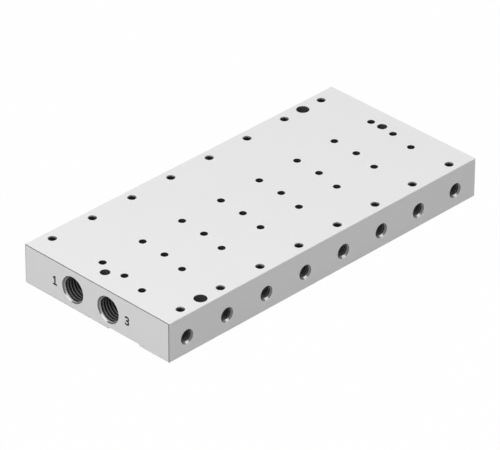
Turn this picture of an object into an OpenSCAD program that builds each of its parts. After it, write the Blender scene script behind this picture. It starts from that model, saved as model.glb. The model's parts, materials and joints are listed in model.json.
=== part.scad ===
// Manifold block for a row of small solenoid valves, machined from one aluminium bar.
// The origin is at the centre of the underside. +X runs along the row of valves, away from
// the end with the two threaded ports. The outlets are on the -Y side, and +Z is up.

/* [Block] */
// Number of valve stations in the row
station_count = 8; // [2:1:12]
// Distance from one valve station to the next
station_pitch = 18.5; // [17:0.5:24]
// Distance from the port end to the first station
port_end_margin = 8.9; // [8:0.05:20]
// Distance from the last station to the plain end
plain_end_margin = 9.45; // [8:0.05:20]
// Distance from the outlet side to the nearer row of valve screws
outlet_side_margin = 3.75; // [3:0.05:12]
// Distance from the back to the other row of valve screws
back_margin = 3.95; // [3:0.05:12]
// Height of the block
block_h = 15.2; // [14.5:0.1:25]
// Chamfer around both end faces
end_chamfer = 0.2; // [0.05:0.05:1]
// Chamfer along the long edges
side_chamfer = 0.1; // [0.05:0.05:0.4]

/* [Valve screws] */
// Distance between the two screws that hold one valve
valve_screw_spacing = 61.3; // [59:0.1:62]
// Tapping diameter of a valve screw hole
valve_screw_d = 2.46; // [2:0.02:3.3]
// Diameter of the countersink at its mouth
valve_screw_mouth_d = 3.2; // [3.1:0.1:4.4]
// Depth of a valve screw hole, to its full diameter
valve_screw_depth = 5; // [3:0.25:5.5]

/* [Passages under a valve] */
// Diameter of the passages that open under a valve
passage_d = 2.75; // [1.5:0.05:3]
// Supply passage: distance along the row from the station's centre
supply_x = 1.6; // [-3:0.1:3]
// Supply passage: distance from the block's centre line
supply_y = 7.8; // [7:0.1:10]
// Exhaust passage: distance along the row from the station's centre
exhaust_x = 1.1; // [-3:0.1:3]
// Exhaust passage: distance from the block's centre line
exhaust_y = -3.2; // [-5:0.1:-2]
// Outlet passage: distance along the row from the station's centre
outlet_x = -1; // [-3:0.1:3]
// Outlet passage: distance from the block's centre line
outlet_y = -13.7; // [-20:0.1:-12.5]

/* [End ports and galleries] */
// Distance between the supply and exhaust galleries
gallery_spacing = 17; // [14:0.5:20]
// Line midway between the galleries: distance from the block's centre line
gallery_mid_y = 2.85; // [1:0.05:4.5]
// Height of both galleries above the underside
gallery_z = 7.4; // [6.5:0.1:9]
// Bore of a gallery
gallery_d = 8; // [6:0.25:8.5]
// How far a gallery runs past the last passage that it feeds
gallery_overrun = 1.5; // [0.5:0.25:3]
// Tapping diameter of an end port
end_port_d = 8.57; // [8.5:0.01:9]
// Threaded depth of an end port, to the start of its gallery
end_port_depth = 9; // [6:0.5:12]
// Diameter of the chamfer at the mouth of an end port
end_port_mouth_d = 10.2; // [9.9:0.1:11]
// Diameter of the plain lead-in behind that chamfer
end_port_lead_d = 9.3; // [9.1:0.1:9.8]
// Depth at which the lead-in ends and the thread begins
end_port_lead_depth = 1.15; // [1:0.05:2]

/* [Outlet ports] */
// Outlet port: distance along the row from the station's centre
outlet_port_x = -0.65; // [-1.2:0.05:-0.4]
// Height of the outlet ports above the underside
outlet_port_z = 6.5; // [4.5:0.1:7]
// Tapping diameter of an outlet port
outlet_port_d = 4.13; // [3.3:0.01:4.3]
// Threaded depth of an outlet port, to the start of its cross passage
outlet_port_depth = 7; // [5:0.5:10]
// Diameter of the chamfer at the mouth of an outlet port
outlet_port_mouth_d = 5.6; // [5:0.1:7]
// Diameter of the cross passage behind an outlet port
cross_passage_d = 3.2; // [2.6:0.1:3.3]

/* [Mounting holes] */
// Diameter of the two corner holes
corner_hole_d = 4.7; // [3.4:0.1:5]
// Diameter of the two holes between the galleries
middle_hole_d = 3.6; // [2.5:0.1:4]
// How far the middle holes lie outside the first and the last station
middle_hole_x = 2; // [0.5:0.1:4]

/* [Groove and port numbers] */
// Width of the shallow groove along the underside
groove_w = 14.8; // [5:0.1:20]
// Middle of the groove: distance from the block's centre line
groove_y = -13; // [-20:0.1:20]
// Depth of the groove
groove_depth = 0.7; // [0.1:0.1:1.5]
// Height of a port number
digit_h = 3.6; // [2:0.1:5]
// Width of an engraved line
digit_line = 0.6; // [0.2:0.05:0.7]
// Reach of the foot and flag of the number 1, and of the open ends of the number 3
digit_serif = 0.95; // [0.5:0.05:1.2]
// Depth of an engraved line
digit_depth = 0.2; // [0.05:0.05:0.5]
// Distance from the supply port's axis to the middle of the number 1
digit_one_gap = 8.6; // [7:0.1:10]
// Distance from the exhaust port's axis to the middle of the number 3
digit_three_gap = 9; // [7:0.1:10]
// Height of the middle of both numbers above the underside
digit_z = 7.2; // [5:0.1:10]

/* [Hidden] */
$fn = 64;
// Full angle of a drill's point
drill_point = 118;
// Extra length of a cutter outside the block
clear = 1;
// Slope of the open ends of the number 3
digit_lean = 24;
block_l = port_end_margin + (station_count - 1) * station_pitch + plain_end_margin;
block_w = outlet_side_margin + valve_screw_spacing + back_margin;
port_end_x = -block_l / 2;
outlet_side_y = -block_w / 2;
near_screw_row_y = outlet_side_y + outlet_side_margin;
far_screw_row_y = near_screw_row_y + valve_screw_spacing;
first_station_x = port_end_x + port_end_margin;
last_station_x = first_station_x + (station_count - 1) * station_pitch;
stations = [for (i = [0 : station_count - 1]) first_station_x + i * station_pitch];
supply_gallery_y = gallery_mid_y + gallery_spacing / 2;
exhaust_gallery_y = gallery_mid_y - gallery_spacing / 2;

// Cutter for a drilled hole along +Z from the origin, with the drill's point beyond its depth
module drilling(d, depth) {
    point = d / 2 / tan(drill_point / 2);
    translate([0, 0, -clear]) cylinder(d = d, h = depth + clear);
    translate([0, 0, depth]) cylinder(d1 = d, d2 = 0, h = point);
}

// Cutter for a 90 degree countersink along +Z from the origin
module countersink(mouth_d, d) {
    depth = max((mouth_d - d) / 2, 0.01);
    translate([0, 0, -clear]) cylinder(d1 = mouth_d + 2 * clear, d2 = mouth_d, h = clear);
    cylinder(d1 = mouth_d, d2 = d, h = depth);
}

// Puts a cutter's origin on the top face, pointing down
module from_top(x, y) {
    translate([x, y, block_h]) rotate([180, 0, 0]) children();
}

// Puts a cutter's origin on the port end, pointing into the block
module from_port_end(y, z) {
    translate([port_end_x, y, z]) rotate([0, 90, 0]) children();
}

// Puts a cutter's origin on the outlet side, pointing into the block
module from_outlet_side(x, z) {
    translate([x, outlet_side_y, z]) rotate([-90, 0, 0]) children();
}

// Rectangle with its four corners cut off
module chamfered_rectangle(w, h, c) {
    polygon([
        [-w / 2 + c, -h / 2], [w / 2 - c, -h / 2], [w / 2, -h / 2 + c], [w / 2, h / 2 - c],
        [w / 2 - c, h / 2], [-w / 2 + c, h / 2], [-w / 2, h / 2 - c], [-w / 2, -h / 2 + c]
    ]);
}

// The bar before drilling: its long edges and the edges of both end faces are chamfered
module bar() {
    translate([0, 0, block_h / 2]) intersection() {
        rotate([90, 0, 90])
            linear_extrude(height = block_l, center = true)
                chamfered_rectangle(block_w, block_h, side_chamfer);
        linear_extrude(height = block_h, center = true)
            chamfered_rectangle(block_l, block_w, end_chamfer);
        rotate([90, 0, 0])
            linear_extrude(height = block_w, center = true)
                chamfered_rectangle(block_l, block_h, end_chamfer);
    }
}

module groove() {
    translate([port_end_x - clear, groove_y - groove_w / 2, -clear])
        cube([block_l + 2 * clear, groove_w, groove_depth + clear]);
}

// Supply or exhaust gallery, turned in one outline of [radius, depth] points: the port's chamfer,
// its lead-in and thread, and the bore, which runs past the last passage that it feeds
module gallery(y, last_passage_x) {
    mouth = end_port_mouth_d / 2;
    lead = end_port_lead_d / 2;
    thread = end_port_d / 2;
    bore = gallery_d / 2;
    depth = last_passage_x + passage_d / 2 + gallery_overrun - port_end_x;
    point = bore / tan(drill_point / 2);
    from_port_end(y, gallery_z) rotate_extrude() polygon([
        [0, -clear], [mouth + clear, -clear], [lead, mouth - lead], [lead, end_port_lead_depth],
        [thread, end_port_lead_depth], [thread, end_port_depth], [bore, end_port_depth],
        [bore, depth], [0, depth + point]
    ]);
}

// Threaded outlet port and its cross passage, drilled as far as the outlet passage's axis
module outlet_port(x) {
    from_outlet_side(x, outlet_port_z) {
        countersink(outlet_port_mouth_d, outlet_port_d);
        translate([0, 0, -clear]) cylinder(d = outlet_port_d, h = outlet_port_depth + clear);
        drilling(cross_passage_d, outlet_y - outlet_side_y);
    }
}

// Tapped hole for a valve screw
module valve_screw_hole(x, y) {
    from_top(x, y) {
        countersink(valve_screw_mouth_d, valve_screw_d);
        drilling(valve_screw_d, valve_screw_depth);
    }
}

// Passage drilled from the top face down to height z, the axis of what it opens into
module passage(x, y, z) {
    from_top(x, y) drilling(passage_d, block_h - z);
}

// Everything that is drilled for one valve
module station(x) {
    valve_screw_hole(x, near_screw_row_y);
    valve_screw_hole(x, far_screw_row_y);
    passage(x + supply_x, supply_y, gallery_z);
    passage(x + exhaust_x, exhaust_y, gallery_z);
    passage(x + outlet_x, outlet_y, outlet_port_z);
    outlet_port(x + outlet_port_x);
}

module through_hole(x, y, d) {
    translate([x, y, -clear]) cylinder(d = d, h = block_h + 2 * clear);
}

// Two corner holes, midway between two stations and in line with the valve screws
module corner_holes() {
    through_hole(first_station_x + station_pitch / 2, near_screw_row_y, corner_hole_d);
    through_hole(last_station_x - station_pitch / 2, far_screw_row_y, corner_hole_d);
}

// Two holes in the wall between the galleries
module middle_holes() {
    through_hole(first_station_x - middle_hole_x, gallery_mid_y, middle_hole_d);
    through_hole(last_station_x + middle_hole_x, gallery_mid_y, middle_hole_d);
}

// Straight engraved line of the port numbers, between two points
module engraved_line(a, b) {
    run = b - a;
    translate(a) rotate(atan2(run[1], run[0])) translate([0, -digit_line / 2])
        square([norm(run), digit_line]);
}

// Number 1, with a foot and a short flag, drawn around its middle
module digit_one() {
    top = digit_h / 2;
    line = digit_line / 2;
    engraved_line([0, -top], [0, top]);
    engraved_line([-digit_serif, -top + line], [digit_serif, -top + line]);
    engraved_line([-digit_serif, top - digit_serif], [0, top - line]);
}

// Bowl of the number 3: a ring without the part between its open end and its lowest point, or
// its highest point where side is -1
module bowl(r, side) {
    far = 2 * r;
    difference() {
        circle(r = r);
        circle(r = r - digit_line);
        polygon([
            [0, 0], [-far * sin(digit_lean), side * far * cos(digit_lean)], [-far, 0],
            [-far, -side * far], [0, -side * far]
        ]);
    }
}

// Number 3: two bowls that share one line, each with a straight open end, drawn around its middle
module digit_three() {
    r = (digit_h + digit_line) / 4;
    step = r - digit_line / 2;
    start_x = -step * sin(digit_lean);
    start_y = step + step * cos(digit_lean);
    end_y = start_y - (start_x + digit_serif) * tan(digit_lean);
    for (side = [-1, 1]) {
        translate([0, side * step]) bowl(r, side);
        engraved_line([start_x, side * start_y], [-digit_serif, side * end_y]);
    }
    engraved_line([0, 0], [-digit_serif / 2, 0]);
}

// Cuts a number into the port end. Seen from outside, its left is +Y.
module on_port_end(y) {
    translate([port_end_x, y, digit_z]) rotate([90, 0, -90])
        translate([0, 0, -digit_depth]) linear_extrude(height = digit_depth + clear) children();
}

module manifold_block() {
    color([0.9, 0.9, 0.9]) difference() {
        bar();
        groove();
        gallery(supply_gallery_y, last_station_x + supply_x);
        gallery(exhaust_gallery_y, last_station_x + exhaust_x);
        for (x = stations) station(x);
        corner_holes();
        middle_holes();
        on_port_end(supply_gallery_y + digit_one_gap) digit_one();
        on_port_end(exhaust_gallery_y - digit_three_gap) digit_three();
    }
}

manifold_block();
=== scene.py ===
"""Manifold block for a row of eight small valves, one bar of satin aluminium with threads in its ports.

The block is cut from a bar, hole by hole. The CAD frame gives the size of the bar and the places and
bores of the mounts, and the settings give the rest. The cutters of the holes are turned or wound, as a
drill or a tap would be, with the mouth of the hole at their origin and +Z pointing into the metal.
"""

import json
import math

import bpy
from bpy.props import FloatProperty, FloatVectorProperty, PointerProperty
from mathutils import Matrix, Vector


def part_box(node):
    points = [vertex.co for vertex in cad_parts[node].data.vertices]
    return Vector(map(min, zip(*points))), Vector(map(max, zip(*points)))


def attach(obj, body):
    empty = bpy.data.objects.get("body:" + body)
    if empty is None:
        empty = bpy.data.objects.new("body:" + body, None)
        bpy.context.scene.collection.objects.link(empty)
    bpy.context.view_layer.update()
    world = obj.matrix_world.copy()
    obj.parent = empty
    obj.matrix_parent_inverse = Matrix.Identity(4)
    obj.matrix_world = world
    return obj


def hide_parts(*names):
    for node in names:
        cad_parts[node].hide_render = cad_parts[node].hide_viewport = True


bl_info = {
    "name": "Manifold Block",
    "version": (1, 0, 0),
    "blender": (4, 5, 0),
    "location": "3D View > Sidebar > Manifold",
    "description": "Machined aluminium manifold block with threaded ports, on a pale studio floor",
    "category": "Add Mesh",
}

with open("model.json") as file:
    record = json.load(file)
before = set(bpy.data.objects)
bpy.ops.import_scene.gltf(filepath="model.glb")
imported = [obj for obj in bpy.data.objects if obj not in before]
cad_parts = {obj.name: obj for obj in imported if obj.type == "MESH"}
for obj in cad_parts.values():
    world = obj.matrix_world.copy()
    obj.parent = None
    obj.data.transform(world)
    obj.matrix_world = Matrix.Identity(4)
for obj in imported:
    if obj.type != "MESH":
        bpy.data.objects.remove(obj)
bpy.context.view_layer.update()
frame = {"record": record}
MOUNTS = {mount["name"]: mount for mount in frame["record"]["mounts"]}
LOW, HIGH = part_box("manifold_block")

MM = 0.001
# How far a cutter starts outside the metal
CLEAR = 1.0 * MM
# Points closer than this are one point
SAME_POINT = 0.0001 * MM
# An edge closer to an end face than this lies in it
IN_FACE = 0.001 * MM
# Full angle of a drill's point
DRILL_POINT = math.radians(118)
# Faces that meet at less than this angle are shaded as one round face
ROUND_BELOW = math.radians(25)
# How many sides a round hole is cut with
END_PORT_SIDES = 96
OUTLET_SIDES = 64
THROUGH_HOLE_SIDES = 64
PASSAGE_SIDES = 48
SCREW_SIDES = 40
# Shares of a thread's pitch: how far a tap's core stays inside the bore, and half the flat of its groove
CORE_GAP = 1 / 8
HALF_FLAT = 1 / 16
# Straight pieces that each bowl of the engraved 3 is made of
BOWL_STEPS = 24
# Order of the block's material slots: the satin faces first, then the edges. The colours of the edges,
# bores and threads are darkened with painted shade.
FINISH_NAMES = ("satin_face", "turned_edge_painted_shade", "broken_edge_painted_shade", "bored_metal_painted_shade", "thread_crest_painted_shade",
                "thread_groove_painted_shade", "drilled_metal_painted_shade", "marking")
# Turns that bring a cutter's +Z from each face into the metal
FROM_TOP = Matrix.Rotation(math.pi, 4, "X")
FROM_PORT_END = Matrix.Rotation(math.pi / 2, 4, "Y")
FROM_OUTLET_SIDE = Matrix.Rotation(-math.pi / 2, 4, "X")

# Cells per metre, and detail, of the clouds in a finish's colour
CLOUD_SCALE = 60
CLOUD_DETAIL = 3
# Detail of the grain in a finish, how far it moves the roughness, and its relief
GRAIN_DETAIL = 2
GRAIN_ROUGHNESS = 0.05
GRAIN_STRENGTH = 0.15
GRAIN_HEIGHT = 0.01 * MM

# Side of the floor and distance of the lamps from the block, in metres
FLOOR_SIZE = 8
LAMP_DISTANCE = 1.2
# How white the floor shows to the camera and in gloss. The rest is its own shaded colour.
FLOOR_WHITE = 0.99
# Lamps that light the block and don't show in gloss, then panels that only show in gloss. Each has its
# direction and elevation in degrees, its width and height in metres, and its radiance.
LAMPS = {
    "softbox_end": (190, 43, 0.55, 0.55, 5.55),
    "softbox_top": (0, 90, 1.0, 1.0, 1.5),
}
PANELS = {
    "panel_end": (182, 41, 1.2, 0.7, 5.0),
    "panel_side": (301, 43, 1.0, 0.6, 3.8),
}
SENSOR_WIDTH_MM = 36
# Nearest and farthest distance that the camera shows, in metres
CAMERA_RANGE = (0.01, 100)


def length(name, description, size_mm):
    """Property for a length, given in millimetres and kept in metres."""
    return FloatProperty(
        name=name, description=description, default=size_mm * MM, unit="LENGTH", precision=5,
    )


def grey(name, description, value):
    """Property for a colour that is a grey by default."""
    return FloatVectorProperty(
        name=name, description=description, default=(value, value, value), subtype="COLOR", min=0, max=1,
    )


def share(name, description, value):
    """Property for a number from 0 to 1."""
    return FloatProperty(
        name=name, description=description, default=value, min=0, max=1, subtype="FACTOR",
    )


class BarSizes(bpy.types.PropertyGroup):
    """Edges and underside of the bar"""

    end_chamfer: length("End chamfer", "Chamfer around both end faces", 0.2)
    edge_chamfer: length("Edge chamfer", "Chamfer along the long edges", 0.1)
    groove_width: length("Groove width", "Width of the shallow groove along the underside", 14.8)
    groove_middle: length("Groove place", "Middle of the groove, from the block's centre line", -13.0)
    groove_depth: length("Groove depth", "Depth of the groove", 0.7)


class HoleSizes(bpy.types.PropertyGroup):
    """Sizes and places of the holes that the frame doesn't give"""

    passage_d: length("Passage", "Diameter of the passages under a valve", 2.75)
    supply_x: length("Supply along", "Supply passage, along the row from its station", 1.6)
    supply_y: length("Supply across", "Supply passage, from the block's centre line", 7.8)
    exhaust_x: length("Exhaust along", "Exhaust passage, along the row from its station", 1.1)
    exhaust_y: length("Exhaust across", "Exhaust passage, from the block's centre line", -3.2)
    outlet_x: length("Outlet along", "Outlet passage, along the row from its station", -1.0)
    outlet_y: length("Outlet across", "Outlet passage, from the block's centre line", -13.7)
    gallery_d: length("Gallery", "Bore of the supply and exhaust galleries", 8.0)
    gallery_overrun: length("Gallery overrun", "How far a gallery runs past its last passage", 1.5)
    lead_d: length("Lead-in", "Diameter of the plain lead-in of an end port", 9.3)
    end_mouth_d: length("End port mouth", "Diameter of the chamfer of an end port", 10.2)
    cross_d: length("Cross passage", "Diameter of the cross passage behind an outlet", 3.2)
    outlet_mouth_d: length("Outlet mouth", "Diameter of the chamfer of an outlet", 5.6)
    screw_mouth_d: length("Screw mouth", "Diameter of the countersink of a valve screw hole", 3.2)
    screw_depth: length("Screw depth", "Depth of a valve screw hole, without its drill point", 5.0)


class ThreadSizes(bpy.types.PropertyGroup):
    """Threads of the ports and screw holes"""

    end_outer_d: length("End port thread", "Outer diameter of the thread in an end port", 9.73)
    end_pitch: length("End port pitch", "Pitch of the thread in an end port", 1.22)
    end_start: length(
        "End port start", "Depth at which the thread in an end port starts, at its lowest point", -0.825,
    )
    outlet_outer_d: length("Outlet thread", "Outer diameter of the thread in an outlet", 5.0)
    outlet_pitch: length("Outlet pitch", "Pitch of the thread in an outlet", 0.8)
    screw_outer_d: length("Screw thread", "Outer diameter of the thread in a valve screw hole", 3.0)
    screw_pitch: length("Screw pitch", "Pitch of the thread in a valve screw hole", 0.5)
    flank_angle: FloatProperty(
        name="Thread angle", description="Angle between the flanks of a thread",
        default=math.radians(60), subtype="ANGLE",
    )


class NumberSizes(bpy.types.PropertyGroup):
    """Engraved numbers beside the end ports"""

    height: length("Height", "Height of a port number", 3.6)
    line: length("Line", "Width of an engraved line", 0.72)
    depth: length("Depth", "Depth of an engraved line", 0.2)
    reach: length("Reach", "Reach of the foot and flag of the 1 and the open ends of the 3", 0.95)
    lean: FloatProperty(
        name="Lean", description="Slope of the open ends of the 3",
        default=math.radians(24), subtype="ANGLE",
    )
    one_gap: length("Gap of the 1", "Distance from the supply port's axis to the middle of the 1", 8.6)
    three_gap: length("Gap of the 3", "Distance from the exhaust port's axis to the middle of the 3", 9.0)
    middle_z: length("Level", "Height of the middle of both numbers above the underside", 7.2)


class Finishes(bpy.types.PropertyGroup):
    """Colours of the finishes, and the gloss of the satin faces"""

    satin_face: grey("Satin face", "Colour of the outer faces", 0.80)
    # Painted shade: the port chamfers' colour is darkened far below the aluminium's to stand for a dark
    # reflection in them
    turned_edge_painted_shade: grey("Turned edge", "Colour of the chamfers of the ports", 0.15)
    # Painted shade: the end chamfers' colour is darkened to stand for a dark reflection along those edges
    broken_edge_painted_shade: grey("Broken edge", "Colour of the chamfers around the end faces", 0.15)
    # Painted shade: the through holes and countersinks are darkened for the shade inside them
    bored_metal_painted_shade: grey("Bored metal", "Colour of the through holes and of the countersinks", 0.11)
    # Painted shade: the bores that keep the threads' crests are darkened for the shade inside the ports,
    # though less than the grooves
    thread_crest_painted_shade: grey("Thread crest", "Colour of the crests of the ports' threads", 0.31)
    # Painted shade: the threads' grooves are darkened nearly to black for the shade deep inside them
    thread_groove_painted_shade: grey("Thread groove", "Colour in the threads of end ports and screw holes", 0.025)
    # Painted shade: the drillings and outlets' threads are darkened for the shade inside them
    drilled_metal_painted_shade: grey("Drilled metal", "Colour in the drillings and the outlets' threads", 0.05)
    marking: grey("Marking", "Colour of the engraved numbers", 0.02)
    metal: share("Metal", "Metallic share of the satin faces", 0.05)
    roughness: share("Roughness", "Roughness of the satin faces", 0.65)


class StudioSettings(bpy.types.PropertyGroup):
    """Camera, floor and even light"""

    lens: FloatProperty(
        name="Focal length", description="Focal length of the camera, in millimetres on a 36 mm sensor",
        default=328.1,
    )
    azimuth: FloatProperty(
        name="Direction", description="Direction that the camera looks in, turned from +X towards +Y",
        default=math.radians(44.699), subtype="ANGLE",
    )
    elevation: FloatProperty(
        name="Elevation", description="How steeply the camera looks down",
        default=math.radians(32.084), subtype="ANGLE",
    )
    roll: FloatProperty(
        name="Roll", description="Turn of the camera about its own line of sight",
        default=math.radians(0.255), subtype="ANGLE",
    )
    distance: length("Distance", "Distance from the camera to the point that it looks at", 1549.2)
    aim: FloatVectorProperty(
        name="Aim", description="Point that the camera looks at", default=(-0.003439, -0.001686, 0.0076),
        subtype="XYZ",
    )
    floor: grey("Floor", "Colour of the floor in the light that it throws on the block", 0.35)
    fill: share("Fill", "Strength of the even light from all around", 0.44)


def settings():
    """The block's own sizes, finishes and studio settings."""
    return bpy.context.scene.manifold_block


def place_of(name, x=None, y=None, z=None):
    """Place of a mount, for a bore its middle, with any coordinate moved to a face."""
    px, py, pz = MOUNTS[name]["pos_m"]
    return Vector((px if x is None else x, py if y is None else y, pz if z is None else z))


def radius_of(name):
    """Radius of a mount's bore."""
    sizes = MOUNTS[name]["dims"]
    return (sizes["r_mm"] if "r_mm" in sizes else sizes["hole_r_mm"]) * MM


def length_of(name):
    """Length of a mount's bore."""
    return MOUNTS[name]["dims"]["length_mm"] * MM


def station_places():
    """Centres of the valve stations, on the top face."""
    count = sum(name.removeprefix("valve_").isdigit() for name in MOUNTS)
    return [place_of(f"valve_{i + 1}", z=HIGH.z) for i in range(count)]


def outlet_places():
    """Centres of the outlets' mouths, one for each station."""
    return [place_of(f"outlet_{i + 1}", y=LOW.y) for i in range(len(station_places()))]


def only(piece):
    """Makes one object the selected and active one."""
    bpy.ops.object.select_all(action="DESELECT")
    piece.select_set(True)
    bpy.context.view_layer.objects.active = piece


def draw_outline(name, points):
    """New object in edit mode: a line through [radius, depth] points, drawn by extruding one vertex."""
    bpy.ops.object.select_all(action="DESELECT")
    bpy.ops.mesh.primitive_plane_add(size=CLEAR)
    piece = bpy.context.object
    piece.name = name
    bpy.ops.object.mode_set(mode="EDIT")
    bpy.ops.mesh.select_mode(type="VERT")
    bpy.ops.mesh.select_all(action="SELECT")
    bpy.ops.mesh.merge(type="CENTER")
    bpy.ops.transform.translate(value=(points[0][0], 0, points[0][1]))
    for (x0, z0), (x1, z1) in zip(points, points[1:]):
        step = (x1 - x0, 0, z1 - z0)
        bpy.ops.mesh.extrude_vertices_move(TRANSFORM_OT_translate={"value": step})
    return piece


def clean_up(piece):
    """Merges doubles and turns the faces outwards, then leaves edit mode."""
    bpy.ops.mesh.select_all(action="SELECT")
    bpy.ops.mesh.remove_doubles(threshold=SAME_POINT)
    bpy.ops.mesh.normals_make_consistent(inside=False)
    bpy.ops.object.mode_set(mode="OBJECT")
    return piece


def turned(name, points, sides, finish):
    """Closed solid turned about +Z from an outline that starts and ends on the axis."""
    piece = draw_outline(name, points)
    bpy.ops.mesh.select_all(action="SELECT")
    bpy.ops.mesh.spin(steps=sides, angle=2 * math.pi, center=(0, 0, 0), axis=(0, 0, 1))
    clean_up(piece)
    piece.data.materials.append(bpy.data.materials[finish])
    return piece


def drill(name, radius, depth, sides, finish):
    """Plain drill with its point beyond the depth."""
    point = radius / math.tan(DRILL_POINT / 2)
    outline = [(0, -CLEAR), (radius, -CLEAR), (radius, depth), (0, depth + point)]
    return turned(name, outline, sides, finish)


def countersink(mouth, sides, finish):
    """Cone of 90 degrees that chamfers a hole's mouth to a radius."""
    outline = [(0, -CLEAR), (mouth + CLEAR, -CLEAR), (0, mouth)]
    return turned("countersink", outline, sides, finish)


def tap(bore, outer, pitch, start, depth, sides, finish):
    """Screw-shaped cutter that leaves a right-hand thread in a bore, from one depth to another.

    One turn of it is a ridge with a narrow flat top, which cuts the groove, on a core that stays inside
    the bore and cuts nothing.
    """
    slope = math.tan(settings().threads.flank_angle / 2)
    core = bore - pitch * CORE_GAP
    flat = pitch * HALF_FLAT
    foot = flat + slope * (outer - core)
    half = pitch / 2
    outline = [
        (core, 0), (core, half - foot), (outer, half - flat),
        (outer, half + flat), (core, half + foot), (core, pitch),
    ]
    piece = draw_outline("thread", outline)
    bpy.ops.object.mode_set(mode="OBJECT")
    winding = piece.modifiers.new("winding", "SCREW")
    winding.axis = "Z"
    winding.angle = 2 * math.pi
    winding.screw_offset = pitch
    # The outline is one pitch high itself, which makes up one of the turns
    winding.iterations = max(1, round((depth - start) / pitch) - 1)
    winding.steps = winding.render_steps = sides
    winding.use_merge_vertices = False
    bpy.ops.object.modifier_apply(modifier=winding.name)
    bpy.ops.object.mode_set(mode="EDIT")
    bpy.ops.mesh.select_all(action="SELECT")
    bpy.ops.mesh.remove_doubles(threshold=SAME_POINT)
    # Both open ends are closed, each with triangles around its middle
    bpy.ops.mesh.select_all(action="DESELECT")
    bpy.ops.mesh.select_mode(type="EDGE")
    bpy.ops.mesh.select_non_manifold()
    bpy.ops.mesh.edge_face_add()
    bpy.ops.mesh.select_mode(type="FACE")
    bpy.ops.mesh.poke()
    bpy.ops.mesh.select_all(action="SELECT")
    bpy.ops.transform.translate(value=(0, 0, start))
    clean_up(piece)
    piece.data.materials.append(bpy.data.materials[finish])
    return piece


def repeat(master, places, turn):
    """Copies of a cutter, each with its own mesh, joined into one cutter. The master goes."""
    made = []
    for place in places:
        piece = master.copy()
        piece.data = master.data.copy()
        bpy.context.collection.objects.link(piece)
        piece.matrix_world = Matrix.Translation(place) @ turn
        made.append(piece)
    bpy.data.objects.remove(master)
    only(made[0])
    for piece in made:
        piece.select_set(True)
    bpy.ops.object.join()
    bpy.ops.object.transform_apply(location=True, rotation=True, scale=True)
    return made[0]


def cut(block, cutter):
    """Takes the cutter's shape out of the block. Its finish stays on the cut faces, and it goes."""
    only(block)
    step = block.modifiers.new("cut", "BOOLEAN")
    step.object = cutter
    step.operation = "DIFFERENCE"
    step.solver = "MANIFOLD"
    before = len(block.data.polygons)
    bpy.ops.object.modifier_apply(modifier=step.name)
    if len(block.data.polygons) <= before:
        raise RuntimeError(f"{cutter.name} cut nothing out of the block")
    bpy.data.objects.remove(cutter)


def the_block():
    """The block that is being machined."""
    block = bpy.data.objects.get("machined_block")
    if block is None:
        raise RuntimeError("cut the bar to size first")
    return block


def new_material(name, base, metallic, roughness):
    """New node material, its Principled shader, and the Object coordinates that its patterns read."""
    material = bpy.data.materials.new(name)
    if material.name != name:
        raise RuntimeError(f"a material called {name} is there already")
    material.use_nodes = True
    nodes = material.node_tree.nodes
    shader = nodes["Principled BSDF"]
    shader.inputs["Base Color"].default_value = (*base, 1)
    shader.inputs["Metallic"].default_value = metallic
    shader.inputs["Roughness"].default_value = roughness
    place = nodes.new("ShaderNodeTexCoord")
    return material, shader, place.outputs["Object"]


def noise(material, place, scale, detail):
    """Noise of a given scale, in cells per metre, on Object coordinates."""
    node = material.node_tree.nodes.new("ShaderNodeTexNoise")
    node.inputs["Scale"].default_value = scale
    node.inputs["Detail"].default_value = detail
    material.node_tree.links.new(place, node.inputs["Vector"])
    return node.outputs["Fac"]


def ramp(material, value, low, high):
    """Spreads a 0 to 1 value between two colours."""
    node = material.node_tree.nodes.new("ShaderNodeMix")
    node.data_type = "RGBA"
    node.inputs["A"].default_value = (*low, 1)
    node.inputs["B"].default_value = (*high, 1)
    material.node_tree.links.new(value, node.inputs["Factor"])
    return node.outputs["Result"]


def bump(material, shader, height):
    """Fine relief on a shader."""
    node = material.node_tree.nodes.new("ShaderNodeBump")
    node.inputs["Strength"].default_value = GRAIN_STRENGTH
    node.inputs["Distance"].default_value = GRAIN_HEIGHT
    material.node_tree.links.new(height, node.inputs["Height"])
    material.node_tree.links.new(node.outputs["Normal"], shader.inputs["Normal"])


def metal_finish(name, base, metallic, roughness, spread, grain):
    """Metal whose colour, gloss and relief vary a little, as a machined or blasted face does.

    The colour varies by the spread either way, and the grain is in cells per metre.
    """
    material, shader, place = new_material(name, base, metallic, roughness)
    links = material.node_tree.links
    cloud = noise(material, place, CLOUD_SCALE, CLOUD_DETAIL)
    low = [value * (1 - spread) for value in base]
    high = [min(1, value * (1 + spread)) for value in base]
    links.new(ramp(material, cloud, low, high), shader.inputs["Base Color"])
    fine = noise(material, place, grain, GRAIN_DETAIL)
    span = material.node_tree.nodes.new("ShaderNodeMapRange")
    span.inputs["To Min"].default_value = roughness - GRAIN_ROUGHNESS
    span.inputs["To Max"].default_value = roughness + GRAIN_ROUGHNESS
    links.new(fine, span.inputs["Value"])
    links.new(span.outputs["Result"], shader.inputs["Roughness"])
    bump(material, shader, fine)


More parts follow.
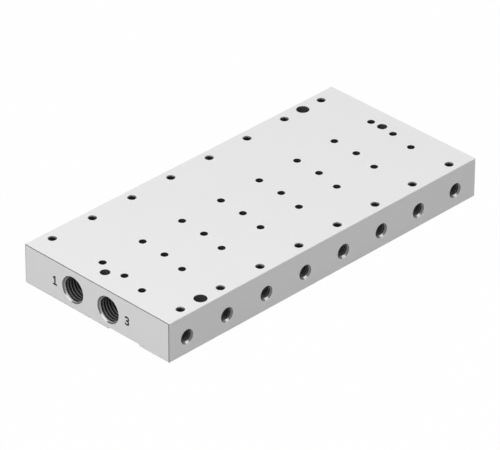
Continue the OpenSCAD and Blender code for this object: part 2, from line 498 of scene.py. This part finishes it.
class MANIFOLD_OT_finishes(bpy.types.Operator):
    """Makes the finishes of the block"""

    bl_idname = "manifold.finishes"
    bl_label = "Finishes"

    def execute(self, context):
        look = settings().finishes
        # The edges, bores and threads get colours darkened with painted shade, the threads' crests less
        # than their grooves
        for name, base, metallic, roughness, spread, grain in (
            ("satin_face", look.satin_face, look.metal, look.roughness, 0.01, 9000),
            # Port chamfers: colour darkened as painted shade for a dark reflection
            ("turned_edge_painted_shade", look.turned_edge_painted_shade, 1.0, 0.25, 0.03, 9000),
            # End chamfers: colour darkened as painted shade for a dark reflection
            ("broken_edge_painted_shade", look.broken_edge_painted_shade, 1.0, 0.3, 0.03, 9000),
            # Through holes and countersinks: colour darkened as painted shade
            ("bored_metal_painted_shade", look.bored_metal_painted_shade, 0.5, 0.45, 0.05, 6000),
            # Thread crests: colour darkened as painted shade, lighter than the grooves
            ("thread_crest_painted_shade", look.thread_crest_painted_shade, 0.2, 0.5, 0.05, 6000),
            # Thread grooves: colour darkened as painted shade
            ("thread_groove_painted_shade", look.thread_groove_painted_shade, 1.0, 0.4, 0.05, 6000),
            # Drillings and outlet threads: colour darkened as painted shade
            ("drilled_metal_painted_shade", look.drilled_metal_painted_shade, 0.5, 0.5, 0.05, 6000),
            ("marking", look.marking, 0.0, 0.6, 0.05, 6000),
        ):
            metal_finish(name, base, metallic, roughness, spread, grain)
        return {"FINISHED"}


class MANIFOLD_OT_bar(bpy.types.Operator):
    """Cuts the bar to size, breaks its edges and mills the groove along its underside"""

    bl_idname = "manifold.bar"
    bl_label = "Bar"

    def execute(self, context):
        bar = settings().bar
        size = HIGH - LOW
        bpy.ops.object.select_all(action="DESELECT")
        bpy.ops.mesh.primitive_cube_add(size=1, location=(LOW + HIGH) / 2, scale=size)
        bpy.ops.object.transform_apply(location=True, rotation=True, scale=True)
        block = bpy.context.object
        block.name = "machined_block"
        for finish in FINISH_NAMES:
            block.data.materials.append(bpy.data.materials[finish])
        self.break_edges(block, bar.edge_chamfer, along=True)
        self.break_edges(block, bar.end_chamfer, along=False)
        bpy.ops.mesh.primitive_cube_add(
            size=1, location=((LOW.x + HIGH.x) / 2, bar.groove_middle, LOW.z),
            scale=(size.x + 2 * CLEAR, bar.groove_width, 2 * bar.groove_depth),
        )
        groove = bpy.context.object
        groove.data.materials.append(bpy.data.materials["satin_face"])
        cut(block, groove)
        return {"FINISHED"}

    def break_edges(self, block, width, along):
        """Bevels the four long edges, or all the edges of both end faces."""
        only(block)
        bpy.ops.object.mode_set(mode="EDIT")
        bpy.ops.mesh.select_all(action="DESELECT")
        bpy.ops.object.mode_set(mode="OBJECT")
        points = block.data.vertices
        for edge in block.data.edges:
            a, b = (points[i].co for i in edge.vertices)
            if along:
                edge.select = abs(a.x - b.x) > MM
            else:
                edge.select = min(abs(a.x - end) + abs(b.x - end) for end in (LOW.x, HIGH.x)) < IN_FACE
        bpy.ops.object.mode_set(mode="EDIT")
        bpy.ops.mesh.select_mode(type="EDGE")
        satin = FINISH_NAMES.index("satin_face")
        # The end chamfers get a colour darkened with painted shade
        finish = satin if along else FINISH_NAMES.index("broken_edge_painted_shade")
        bpy.ops.mesh.bevel(offset=width, segments=1, affect="EDGES", material=finish)
        bpy.ops.object.mode_set(mode="OBJECT")
        # The underside and the chamfers around it are satin
        for face in block.data.polygons:
            if face.center.z < LOW.z + width:
                face.material_index = satin


class MANIFOLD_OT_galleries(bpy.types.Operator):
    """Drills the supply and exhaust galleries from their ports in the end face"""

    bl_idname = "manifold.galleries"
    bl_label = "Galleries and end ports"

    def execute(self, context):
        holes = settings().holes
        block = the_block()
        last = station_places()[-1].x
        bore = holes.gallery_d / 2
        lead = holes.lead_d / 2
        mouth = holes.end_mouth_d / 2
        for name, offset in (("port_1", holes.supply_x), ("port_3", holes.exhaust_x)):
            thread = radius_of(name)
            thread_end = place_of(name).x + length_of(name) / 2 - LOW.x
            thread_start = thread_end - length_of(name)
            depth = last + offset + holes.passage_d / 2 + holes.gallery_overrun - LOW.x
            spot = place_of(name, x=LOW.x)
            # The gallery gets a colour darkened with painted shade
            gallery = drill("gallery", bore, depth, END_PORT_SIDES, "drilled_metal_painted_shade")
            cut(block, repeat(gallery, [spot], FROM_PORT_END))
            outline = [(0, -CLEAR), (thread, -CLEAR), (thread, thread_end), (0, thread_end)]
            # The bore gets a colour darkened with painted shade
            tapping_bore = turned("tapping_bore", outline, END_PORT_SIDES, "thread_crest_painted_shade")
            cut(block, repeat(tapping_bore, [spot], FROM_PORT_END))
            outline = [(0, -CLEAR), (lead, -CLEAR), (lead, thread_start), (0, thread_start)]
            lead_in = turned("lead_in", outline, END_PORT_SIDES, "satin_face")
            cut(block, repeat(lead_in, [spot], FROM_PORT_END))
            # The chamfer's dark colour is painted shade for a dark reflection
            cut(block, repeat(countersink(mouth, END_PORT_SIDES, "turned_edge_painted_shade"), [spot], FROM_PORT_END))
        return {"FINISHED"}


class MANIFOLD_OT_passages(bpy.types.Operator):
    """Drills the passages under the valves and the cross passages to the outlets"""

    bl_idname = "manifold.passages"
    bl_label = "Passages"

    def execute(self, context):
        holes = settings().holes
        block = the_block()
        stations = station_places()
        gallery_depth = HIGH.z - place_of("port_1").z
        outlet_depth = HIGH.z - place_of("outlet_1").z
        for name, x, y, depth in (
            ("supply", holes.supply_x, holes.supply_y, gallery_depth),
            ("exhaust", holes.exhaust_x, holes.exhaust_y, gallery_depth),
            ("outlet", holes.outlet_x, holes.outlet_y, outlet_depth),
        ):
            places = [Vector((spot.x + x, y, HIGH.z)) for spot in stations]
            # The passages get a colour darkened with painted shade
            passage = drill(name, holes.passage_d / 2, depth, PASSAGE_SIDES, "drilled_metal_painted_shade")
            cut(block, repeat(passage, places, FROM_TOP))
        cross = drill("cross", holes.cross_d / 2, holes.outlet_y - LOW.y, PASSAGE_SIDES, "drilled_metal_painted_shade")
        cut(block, repeat(cross, outlet_places(), FROM_OUTLET_SIDE))
        return {"FINISHED"}


class MANIFOLD_OT_outlets(bpy.types.Operator):
    """Drills, chamfers and taps the outlet ports in the side"""

    bl_idname = "manifold.outlets"
    bl_label = "Outlet ports"

    def execute(self, context):
        holes = settings().holes
        threads = settings().threads
        block = the_block()
        places = outlet_places()
        bore = radius_of("outlet_1")
        depth = place_of("outlet_1").y + length_of("outlet_1") / 2 - LOW.y
        mouth = holes.outlet_mouth_d / 2
        outline = [(0, -CLEAR), (bore, -CLEAR), (bore, depth), (0, depth)]
        # The bore gets a colour darkened with painted shade
        hole = turned("outlet", outline, OUTLET_SIDES, "thread_crest_painted_shade")
        cut(block, repeat(hole, places, FROM_OUTLET_SIDE))
        # The chamfer's dark colour is painted shade for a dark reflection
        cut(block, repeat(countersink(mouth, OUTLET_SIDES, "turned_edge_painted_shade"), places, FROM_OUTLET_SIDE))
        outer = threads.outlet_outer_d / 2
        pitch = threads.outlet_pitch
        # The outlet threads get a colour darkened with painted shade
        wound = tap(bore, outer, pitch, -pitch / 2, depth, OUTLET_SIDES, "drilled_metal_painted_shade")
        cut(block, repeat(wound, places, FROM_OUTLET_SIDE))
        return {"FINISHED"}


class MANIFOLD_OT_end_threads(bpy.types.Operator):
    """Taps the two end ports"""

    bl_idname = "manifold.end_threads"
    bl_label = "End port threads"

    def execute(self, context):
        threads = settings().threads
        block = the_block()
        outer = threads.end_outer_d / 2
        pitch = threads.end_pitch
        start = threads.end_start
        for name in ("port_1", "port_3"):
            end = place_of(name).x + length_of(name) / 2 - LOW.x
            # The grooves get a colour darkened with painted shade
            wound = tap(radius_of(name), outer, pitch, start, end, END_PORT_SIDES, "thread_groove_painted_shade")
            cut(block, repeat(wound, [place_of(name, x=LOW.x)], FROM_PORT_END))
        return {"FINISHED"}


class MANIFOLD_OT_screw_holes(bpy.types.Operator):
    """Drills, countersinks and taps the valve screw holes"""

    bl_idname = "manifold.screw_holes"
    bl_label = "Valve screw holes"

    def execute(self, context):
        holes = settings().holes
        threads = settings().threads
        block = the_block()
        bore = radius_of("valve_1")
        depth = holes.screw_depth
        mouth = holes.screw_mouth_d / 2
        half = MOUNTS["valve_1"]["dims"]["spacing_y_mm"] * MM / 2
        places = [spot + Vector((0, side * half, 0)) for spot in station_places() for side in (-1, 1)]
        # The drilled holes get a colour darkened with painted shade
        hole = drill("screw_hole", bore, depth, SCREW_SIDES, "drilled_metal_painted_shade")
        cut(block, repeat(hole, places, FROM_TOP))
        # The countersinks get a colour darkened with painted shade
        cut(block, repeat(countersink(mouth, SCREW_SIDES, "bored_metal_painted_shade"), places, FROM_TOP))
        outer = threads.screw_outer_d / 2
        pitch = threads.screw_pitch
        # The grooves get a colour darkened with painted shade
        wound = tap(bore, outer, pitch, -pitch / 2, depth, SCREW_SIDES, "thread_groove_painted_shade")
        cut(block, repeat(wound, places, FROM_TOP))
        return {"FINISHED"}


class MANIFOLD_OT_through_holes(bpy.types.Operator):
    """Drills the corner holes and the two holes between the galleries"""

    bl_idname = "manifold.through_holes"
    bl_label = "Through holes"

    def execute(self, context):
        block = the_block()
        half = MOUNTS["middle_holes"]["dims"]["spacing_x_mm"] * MM / 2
        middle = place_of("middle_holes", z=HIGH.z)
        corners = [place_of(f"corner_hole_{i + 1}", z=HIGH.z) for i in range(2)]
        middles = [middle + Vector((side * half, 0, 0)) for side in (-1, 1)]
        for name, places in (("corner_hole_1", corners), ("middle_holes", middles)):
            radius = radius_of(name)
            outline = [(0, -CLEAR), (radius, -CLEAR), (radius, HIGH.z + CLEAR), (0, HIGH.z + CLEAR)]
            # The bores get a colour darkened with painted shade
            hole = turned(name, outline, THROUGH_HOLE_SIDES, "bored_metal_painted_shade")
            cut(block, repeat(hole, places, FROM_TOP))
        return {"FINISHED"}


class MANIFOLD_OT_numbers(bpy.types.Operator):
    """Engraves the numbers 1 and 3 beside the end ports"""

    bl_idname = "manifold.numbers"
    bl_label = "Port numbers"

    def execute(self, context):
        size = settings().numbers
        block = the_block()
        for port, shift, strokes in (
            ("port_1", size.one_gap, self.one()),
            ("port_3", -size.three_gap, self.three()),
        ):
            place = Vector((LOW.x - CLEAR, place_of(port).y + shift, size.middle_z))
            for outline in strokes:
                self.engrave(block, place, outline)
        return {"FINISHED"}

    def line(self, a, b):
        """Corners of a straight line between two points, with square ends."""
        run = Vector(b) - Vector(a)
        half = run.orthogonal().normalized() * settings().numbers.line / 2
        return [Vector(a) - half, Vector(b) - half, Vector(b) + half, Vector(a) + half]

    def one(self):
        """Stem, foot and flag of the 1, around its middle."""
        size = settings().numbers
        top = size.height / 2
        half = size.line / 2
        stem = self.line((0, -top), (0, top))
        foot = self.line((-size.reach, -top + half), (size.reach, -top + half))
        flag = self.line((-size.reach, top - size.reach), (0, top - half))
        return [stem, foot, flag]

    def three(self):
        """Two bowls of the 3 that share one line, each with a straight open end, around its middle."""
        size = settings().numbers
        half = size.line / 2
        radius = (size.height - size.line) / 4
        start = Vector((-radius * math.sin(size.lean), radius + radius * math.cos(size.lean)))
        end = Vector((-size.reach, start.y - (start.x + size.reach) * math.tan(size.lean)))
        strokes = [self.line((0, 0), (-size.reach / 2, 0))]
        sweep = math.pi + size.lean
        turns = [i / BOWL_STEPS * sweep - math.pi / 2 for i in range(BOWL_STEPS + 1)]
        for side in (-1, 1):
            flip = Vector((1, side))
            strokes.append(self.line(start * flip, end * flip))
            outside = [(radius + half, turn) for turn in turns]
            inside = [(radius - half, turn) for turn in reversed(turns)]
            strokes.append([
                Vector((rim * math.cos(turn), side * (radius + rim * math.sin(turn))))
                for rim, turn in outside + inside
            ])
        return strokes

    def engrave(self, block, place, outline):
        """Cuts an outline into the end face. Seen from outside, its left is +Y."""
        cutter = draw_outline("number", outline)
        bpy.ops.mesh.select_all(action="SELECT")
        bpy.ops.mesh.edge_face_add()
        inwards = (0, settings().numbers.depth + CLEAR, 0)
        bpy.ops.mesh.extrude_region_move(TRANSFORM_OT_translate={"value": inwards})
        clean_up(cutter)
        cutter.data.materials.append(bpy.data.materials["marking"])
        cut(block, repeat(cutter, [place], Matrix.Rotation(-math.pi / 2, 4, "Z")))


class MANIFOLD_OT_finish_block(bpy.types.Operator):
    """Smooths the round faces and lets the block stand for its CAD node"""

    bl_idname = "manifold.finish_block"
    bl_label = "Finish the block"

    def execute(self, context):
        block = the_block()
        only(block)
        bpy.ops.object.shade_smooth_by_angle(angle=ROUND_BELOW)
        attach(block, "root")
        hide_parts("manifold_block")
        return {"FINISHED"}


def seen_as_background(nodes, links):
    """Output that is 1 for rays of the camera, of gloss and of transmission, and 0 for all others."""
    path = nodes.new("ShaderNodeLightPath")
    camera_or_gloss = nodes.new("ShaderNodeMath")
    camera_or_gloss.operation = "MAXIMUM"
    links.new(path.outputs["Is Camera Ray"], camera_or_gloss.inputs[0])
    links.new(path.outputs["Is Glossy Ray"], camera_or_gloss.inputs[1])
    any_of_three = nodes.new("ShaderNodeMath")
    any_of_three.operation = "MAXIMUM"
    links.new(camera_or_gloss.outputs["Value"], any_of_three.inputs[0])
    links.new(path.outputs["Is Transmission Ray"], any_of_three.inputs[1])
    return any_of_three.outputs["Value"]


class MANIFOLD_OT_studio(bpy.types.Operator):
    """Sets the floor, the soft lamps and the camera"""

    bl_idname = "manifold.studio"
    bl_label = "Studio"

    def execute(self, context):
        scene = context.scene
        scene.view_settings.view_transform = "Standard"
        self.add_floor()
        self.fill_world(scene)
        for name, shape in LAMPS.items():
            self.add_lamp(name, *shape).visible_glossy = False
        for name, shape in PANELS.items():
            self.add_lamp(name, *shape).visible_diffuse = False
        self.add_camera(scene)
        return {"FINISHED"}

    def add_floor(self):
        """Pale floor that shows white and keeps the block's shadow."""
        bpy.ops.object.select_all(action="DESELECT")
        bpy.ops.mesh.primitive_plane_add(size=FLOOR_SIZE)
        floor = bpy.context.object
        floor.name = "floor"
        base = settings().studio.floor
        material, shader, _ = new_material("pale_floor", base, metallic=0.0, roughness=0.8)
        nodes, links = material.node_tree.nodes, material.node_tree.links
        glow = nodes.new("ShaderNodeEmission")
        glow.inputs["Strength"].default_value = 1.0
        show = nodes.new("ShaderNodeMixShader")
        weigh = nodes.new("ShaderNodeMath")
        weigh.operation = "MULTIPLY"
        weigh.inputs[1].default_value = FLOOR_WHITE
        links.new(seen_as_background(nodes, links), weigh.inputs[0])
        links.new(weigh.outputs["Value"], show.inputs["Fac"])
        links.new(shader.outputs["BSDF"], show.inputs[1])
        links.new(glow.outputs["Emission"], show.inputs[2])
        links.new(show.outputs["Shader"], nodes["Material Output"].inputs["Surface"])
        floor.data.materials.append(material)

    def fill_world(self, scene):
        """Even light from all around, which shows white to the camera and in gloss."""
        world = bpy.data.worlds.new("pale_studio")
        scene.world = world
        world.use_nodes = True
        nodes, links = world.node_tree.nodes, world.node_tree.links
        fill = nodes["Background"]
        fill.inputs["Color"].default_value = (1, 1, 1, 1)
        fill.inputs["Strength"].default_value = settings().studio.fill
        white = nodes.new("ShaderNodeBackground")
        white.inputs["Color"].default_value = (1, 1, 1, 1)
        white.inputs["Strength"].default_value = 1.0
        show = nodes.new("ShaderNodeMixShader")
        links.new(seen_as_background(nodes, links), show.inputs["Fac"])
        links.new(fill.outputs["Background"], show.inputs[1])
        links.new(white.outputs["Background"], show.inputs[2])
        links.new(show.outputs["Shader"], nodes["World Output"].inputs["Surface"])

    def add_lamp(self, name, direction, elevation, width, height, radiance):
        """Soft lamp that faces the block, its width level. Its power gives it the radiance."""
        turn, tilt = math.radians(direction), math.radians(elevation)
        reach = math.cos(tilt) * LAMP_DISTANCE
        place = Vector((reach * math.cos(turn), reach * math.sin(turn), math.sin(tilt) * LAMP_DISTANCE))
        light = bpy.data.lights.new(name, "AREA")
        light.shape = "RECTANGLE"
        light.size = width
        light.size_y = height
        light.energy = radiance * width * height * math.pi
        lamp = bpy.data.objects.new(name, light)
        bpy.context.collection.objects.link(lamp)
        lamp.visible_camera = False
        lamp.location = place
        aim = (LOW + HIGH) / 2 - place
        lamp.rotation_euler = aim.to_track_quat("-Z", "Y").to_euler()
        return lamp

    def add_camera(self, scene):
        """Camera with the photograph's view."""
        studio = settings().studio
        camera = bpy.data.objects.new("camera", bpy.data.cameras.new("camera"))
        bpy.context.collection.objects.link(camera)
        camera.data.lens = studio.lens
        camera.data.sensor_width = SENSOR_WIDTH_MM
        camera.data.clip_start, camera.data.clip_end = CAMERA_RANGE
        level = math.cos(studio.elevation)
        ahead = level * math.cos(studio.azimuth)
        aside = level * math.sin(studio.azimuth)
        down = math.sin(studio.elevation)
        look = Vector((ahead, aside, -down))
        camera.location = Vector(studio.aim) - look * studio.distance
        turn = look.to_track_quat("-Z", "Y").to_matrix() @ Matrix.Rotation(studio.roll, 3, "Z")
        camera.rotation_euler = turn.to_euler()
        scene.camera = camera


class ManifoldSettings(bpy.types.PropertyGroup):
    """All that a user would change"""

    bar: PointerProperty(name="Bar", description="Edges and underside of the bar", type=BarSizes)
    holes: PointerProperty(name="Holes", description="Sizes and places of the holes", type=HoleSizes)
    threads: PointerProperty(name="Threads", description="Sizes of the threads", type=ThreadSizes)
    numbers: PointerProperty(name="Numbers", description="Sizes of the port numbers", type=NumberSizes)
    finishes: PointerProperty(name="Finishes", description="Colours and gloss", type=Finishes)
    studio: PointerProperty(name="Studio", description="Camera, floor and light", type=StudioSettings)


STEPS = (
    MANIFOLD_OT_finishes,
    MANIFOLD_OT_bar,
    MANIFOLD_OT_numbers,
    MANIFOLD_OT_galleries,
    MANIFOLD_OT_passages,
    MANIFOLD_OT_through_holes,
    MANIFOLD_OT_end_threads,
    MANIFOLD_OT_outlets,
    MANIFOLD_OT_screw_holes,
    MANIFOLD_OT_finish_block,
    MANIFOLD_OT_studio,
)


class MANIFOLD_PT_panel(bpy.types.Panel):
    """Lists the steps that make the block"""

    bl_label = "Manifold Block"
    bl_space_type = "VIEW_3D"
    bl_region_type = "UI"
    bl_category = "Manifold"

    def draw(self, context):
        for step in STEPS:
            self.layout.operator(step.bl_idname)


GROUPS = (BarSizes, HoleSizes, ThreadSizes, NumberSizes, Finishes, StudioSettings, ManifoldSettings)


def register():
    for item in (*GROUPS, *STEPS, MANIFOLD_PT_panel):
        bpy.utils.register_class(item)
    bpy.types.Scene.manifold_block = PointerProperty(
        name="Manifold Block", description="Sizes, finishes and studio", type=ManifoldSettings,
    )


def unregister():
    del bpy.types.Scene.manifold_block
    for item in reversed((*GROUPS, *STEPS, MANIFOLD_PT_panel)):
        bpy.utils.unregister_class(item)


def main():
    register()
    bpy.ops.manifold.finishes()
    bpy.ops.manifold.bar()
    bpy.ops.manifold.numbers()
    bpy.ops.manifold.galleries()
    bpy.ops.manifold.passages()
    bpy.ops.manifold.through_holes()
    bpy.ops.manifold.end_threads()
    bpy.ops.manifold.outlets()
    bpy.ops.manifold.screw_holes()
    bpy.ops.manifold.finish_block()
    bpy.ops.manifold.studio()


if __name__ == "__main__":
    main()
